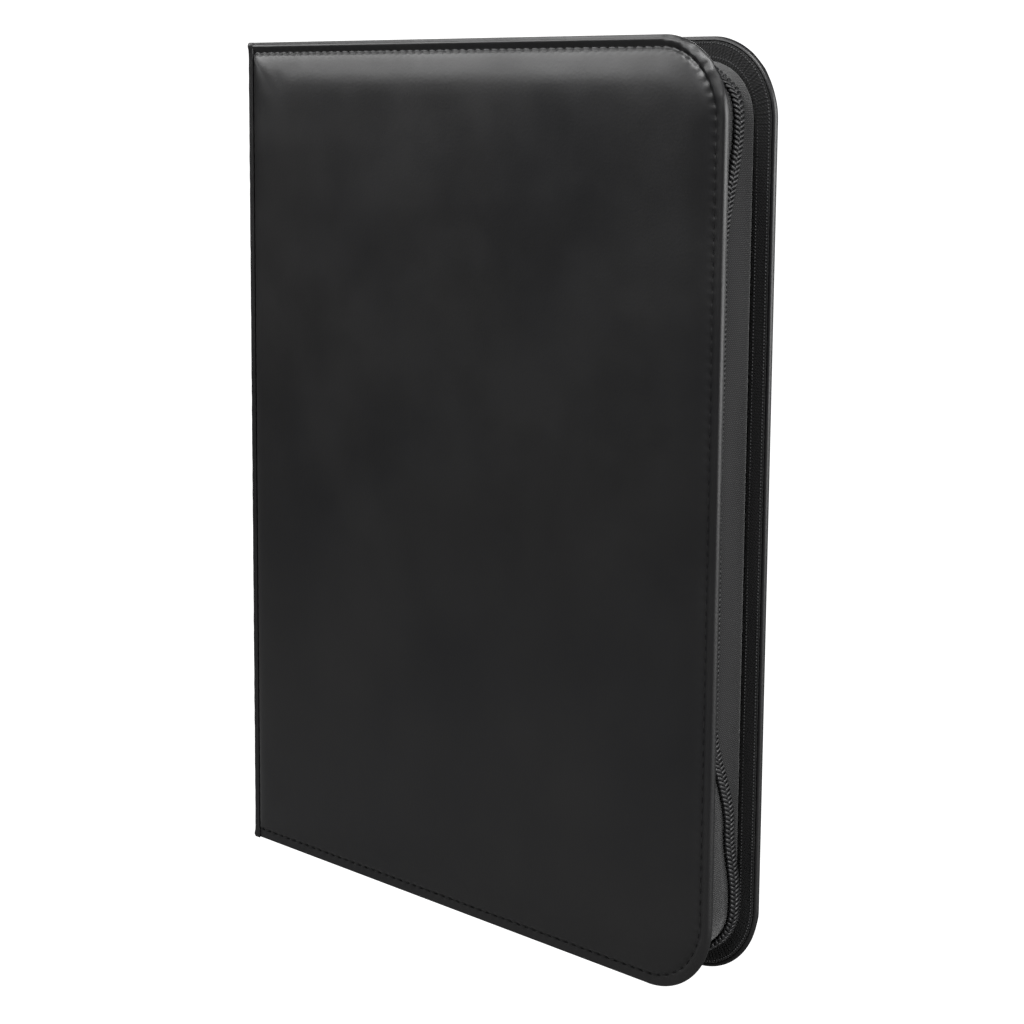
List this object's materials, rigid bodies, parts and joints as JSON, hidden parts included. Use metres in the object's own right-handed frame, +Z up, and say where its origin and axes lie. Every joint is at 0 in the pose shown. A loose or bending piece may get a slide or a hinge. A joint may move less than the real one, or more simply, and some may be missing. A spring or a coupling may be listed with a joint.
{
  "type": "trading card binder",
  "caption": "Tall zip-up card binder with padded leatherette covers, a hinged spine, a zipper round three sides and a bound block of clear pocket pages.",
  "frame": {"origin": "centre of the standing footprint, on the bottom edges of the covers", "axes": "+Z up along the covers, -Y out of the front cover, -X out of the spine, +X towards the zipped fore edge"},
  "size_m": [0.262, 0.035, 0.35],
  "materials": {
    "skin": "satin",
    "foam": "matte",
    "board": "matte",
    "lining": "matte",
    "thread": "matte",
    "tape": "matte",
    "coil": "satin",
    "slider_metal": "gloss",
    "binding": "matte",
    "page": "gloss"
  },
  "bodies": {
    "back_cover": {"back_cover_skin": "skin", "back_cover_foam": "foam", "back_cover_board": "board", "back_cover_lining": "lining", "back_cover_stitching": "thread", "back_fold_skin": "skin", "back_zipper_tape": "tape", "back_zipper_coil": "coil", "back_zipper_top_stop": "slider_metal", "zipper_end_stop": "slider_metal"},
    "spine": {"spine_skin": "skin", "spine_board": "board", "spine_lining": "lining", "binding_strip": "binding"},
    "front_cover": {"front_cover_skin": "skin", "front_cover_foam": "foam", "front_cover_board": "board", "front_cover_lining": "lining", "front_cover_stitching": "thread", "front_fold_skin": "skin", "front_zipper_tape": "tape", "front_zipper_coil": "coil", "front_zipper_top_stop": "slider_metal"},
    "slider": {"slider_body": "slider_metal", "slider_bail": "slider_metal"},
    "pull": {"pull_tab": "slider_metal"},
    "leaf_01": {"leaf_01": "page"},
    "leaf_02": {"leaf_02": "page"},
    "leaf_03": {"leaf_03": "page"},
    "leaf_04": {"leaf_04": "page"},
    "leaf_05": {"leaf_05": "page"},
    "leaf_06": {"leaf_06": "page"},
    "leaf_07": {"leaf_07": "page"},
    "leaf_08": {"leaf_08": "page"},
    "leaf_09": {"leaf_09": "page"},
    "leaf_10": {"leaf_10": "page"},
    "leaf_11": {"leaf_11": "page"},
    "leaf_12": {"leaf_12": "page"},
    "leaf_13": {"leaf_13": "page"},
    "leaf_14": {"leaf_14": "page"},
    "leaf_15": {"leaf_15": "page"},
    "leaf_16": {"leaf_16": "page"},
    "leaf_17": {"leaf_17": "page"},
    "leaf_18": {"leaf_18": "page"},
    "leaf_19": {"leaf_19": "page"},
    "leaf_20": {"leaf_20": "page"}
  },
  "joints": [
    {"name": "spine_fold", "type": "hinge", "parent": "back_cover", "child": "spine", "pos_m": [-0.1298, 0.0138, 0], "axis": [0, 0, -1], "range_deg": [0, 90], "deforming": ["back_fold_skin"]},
    {"name": "front_fold", "type": "hinge", "parent": "spine", "child": "front_cover", "pos_m": [-0.1298, -0.0138, 0], "axis": [0, 0, -1], "range_deg": [0, 90], "deforming": ["front_fold_skin", "front_zipper_tape", "front_zipper_coil", "back_zipper_tape"]},
    {"name": "slider_travel", "type": "slide", "parent": "back_cover", "child": "slider", "axis": [1, 0, 0], "range_m": [0, 0.197], "deforming": ["back_zipper_coil"]},
    {"name": "pull_tab_swing", "type": "hinge", "parent": "slider", "child": "pull", "pos_m": [-0.1013, 0, 0.3452], "axis": [0, -1, 0], "range_deg": [0, 160]},
    {"name": "leaf_01_turn", "type": "hinge", "parent": "spine", "child": "leaf_01", "pos_m": [-0.1256, -0.00903, 0], "axis": [0, 0, 1], "range_deg": [-75.1, 0]},
    {"name": "leaf_02_turn", "type": "hinge", "parent": "spine", "child": "leaf_02", "pos_m": [-0.1256, -0.00808, 0], "axis": [0, 0, 1], "range_deg": [-67.2, 0]},
    {"name": "leaf_03_turn", "type": "hinge", "parent": "spine", "child": "leaf_03", "pos_m": [-0.1256, -0.00713, 0], "axis": [0, 0, 1], "range_deg": [-59.31, 0]},
    {"name": "leaf_04_turn", "type": "hinge", "parent": "spine", "child": "leaf_04", "pos_m": [-0.1256, -0.00617, 0], "axis": [0, 0, 1], "range_deg": [-51.42, 0]},
    {"name": "leaf_05_turn", "type": "hinge", "parent": "spine", "child": "leaf_05", "pos_m": [-0.1256, -0.00522, 0], "axis": [0, 0, 1], "range_deg": [-43.52, 0]},
    {"name": "leaf_06_turn", "type": "hinge", "parent": "spine", "child": "leaf_06", "pos_m": [-0.1256, -0.00428, 0], "axis": [0, 0, 1], "range_deg": [-35.63, 0]},
    {"name": "leaf_07_turn", "type": "hinge", "parent": "spine", "child": "leaf_07", "pos_m": [-0.1256, -0.00332, 0], "axis": [0, 0, 1], "range_deg": [-27.73, 0]},
    {"name": "leaf_08_turn", "type": "hinge", "parent": "spine", "child": "leaf_08", "pos_m": [-0.1256, -0.00237, 0], "axis": [0, 0, 1], "range_deg": [-19.84, 0]},
    {"name": "leaf_09_turn", "type": "hinge", "parent": "spine", "child": "leaf_09", "pos_m": [-0.1256, -0.00143, 0], "axis": [0, 0, 1], "range_deg": [-11.94, 0]},
    {"name": "leaf_10_turn", "type": "hinge", "parent": "spine", "child": "leaf_10", "pos_m": [-0.1256, -0.00047, 0], "axis": [0, 0, 1], "range_deg": [-4.05, 0]},
    {"name": "leaf_11_turn", "type": "hinge", "parent": "spine", "child": "leaf_11", "pos_m": [-0.1256, 0.00047, 0], "axis": [0, 0, 1], "range_deg": [0, 4.05]},
    {"name": "leaf_12_turn", "type": "hinge", "parent": "spine", "child": "leaf_12", "pos_m": [-0.1256, 0.00143, 0], "axis": [0, 0, 1], "range_deg": [0, 11.94]},
    {"name": "leaf_13_turn", "type": "hinge", "parent": "spine", "child": "leaf_13", "pos_m": [-0.1256, 0.00237, 0], "axis": [0, 0, 1], "range_deg": [0, 19.84]},
    {"name": "leaf_14_turn", "type": "hinge", "parent": "spine", "child": "leaf_14", "pos_m": [-0.1256, 0.00332, 0], "axis": [0, 0, 1], "range_deg": [0, 27.73]},
    {"name": "leaf_15_turn", "type": "hinge", "parent": "spine", "child": "leaf_15", "pos_m": [-0.1256, 0.00428, 0], "axis": [0, 0, 1], "range_deg": [0, 35.63]},
    {"name": "leaf_16_turn", "type": "hinge", "parent": "spine", "child": "leaf_16", "pos_m": [-0.1256, 0.00522, 0], "axis": [0, 0, 1], "range_deg": [0, 43.52]},
    {"name": "leaf_17_turn", "type": "hinge", "parent": "spine", "child": "leaf_17", "pos_m": [-0.1256, 0.00617, 0], "axis": [0, 0, 1], "range_deg": [0, 51.42]},
    {"name": "leaf_18_turn", "type": "hinge", "parent": "spine", "child": "leaf_18", "pos_m": [-0.1256, 0.00713, 0], "axis": [0, 0, 1], "range_deg": [0, 59.31]},
    {"name": "leaf_19_turn", "type": "hinge", "parent": "spine", "child": "leaf_19", "pos_m": [-0.1256, 0.00808, 0], "axis": [0, 0, 1], "range_deg": [0, 67.2]},
    {"name": "leaf_20_turn", "type": "hinge", "parent": "spine", "child": "leaf_20", "pos_m": [-0.1256, 0.00903, 0], "axis": [0, 0, 1], "range_deg": [0, 75.1]}
  ],
  "couplings": [
    {"joint": "front_fold", "follows": "spine_fold", "ratio": 1},
    {"joint": "leaf_01_turn", "follows": "spine_fold", "ratio": -0.83333},
    {"joint": "leaf_02_turn", "follows": "spine_fold", "ratio": -0.74561},
    {"joint": "leaf_03_turn", "follows": "spine_fold", "ratio": -0.6579},
    {"joint": "leaf_04_turn", "follows": "spine_fold", "ratio": -0.57017},
    {"joint": "leaf_05_turn", "follows": "spine_fold", "ratio": -0.48246},
    {"joint": "leaf_06_turn", "follows": "spine_fold", "ratio": -0.39474},
    {"joint": "leaf_07_turn", "follows": "spine_fold", "ratio": -0.30702},
    {"joint": "leaf_08_turn", "follows": "spine_fold", "ratio": -0.2193},
    {"joint": "leaf_09_turn", "follows": "spine_fold", "ratio": -0.13158},
    {"joint": "leaf_10_turn", "follows": "spine_fold", "ratio": -0.04386},
    {"joint": "leaf_11_turn", "follows": "spine_fold", "ratio": 0.04386},
    {"joint": "leaf_12_turn", "follows": "spine_fold", "ratio": 0.13158},
    {"joint": "leaf_13_turn", "follows": "spine_fold", "ratio": 0.2193},
    {"joint": "leaf_14_turn", "follows": "spine_fold", "ratio": 0.30702},
    {"joint": "leaf_15_turn", "follows": "spine_fold", "ratio": 0.39474},
    {"joint": "leaf_16_turn", "follows": "spine_fold", "ratio": 0.48246},
    {"joint": "leaf_17_turn", "follows": "spine_fold", "ratio": 0.57017},
    {"joint": "leaf_18_turn", "follows": "spine_fold", "ratio": 0.6579},
    {"joint": "leaf_19_turn", "follows": "spine_fold", "ratio": 0.74561},
    {"joint": "leaf_20_turn", "follows": "spine_fold", "ratio": 0.83333}
  ]
}
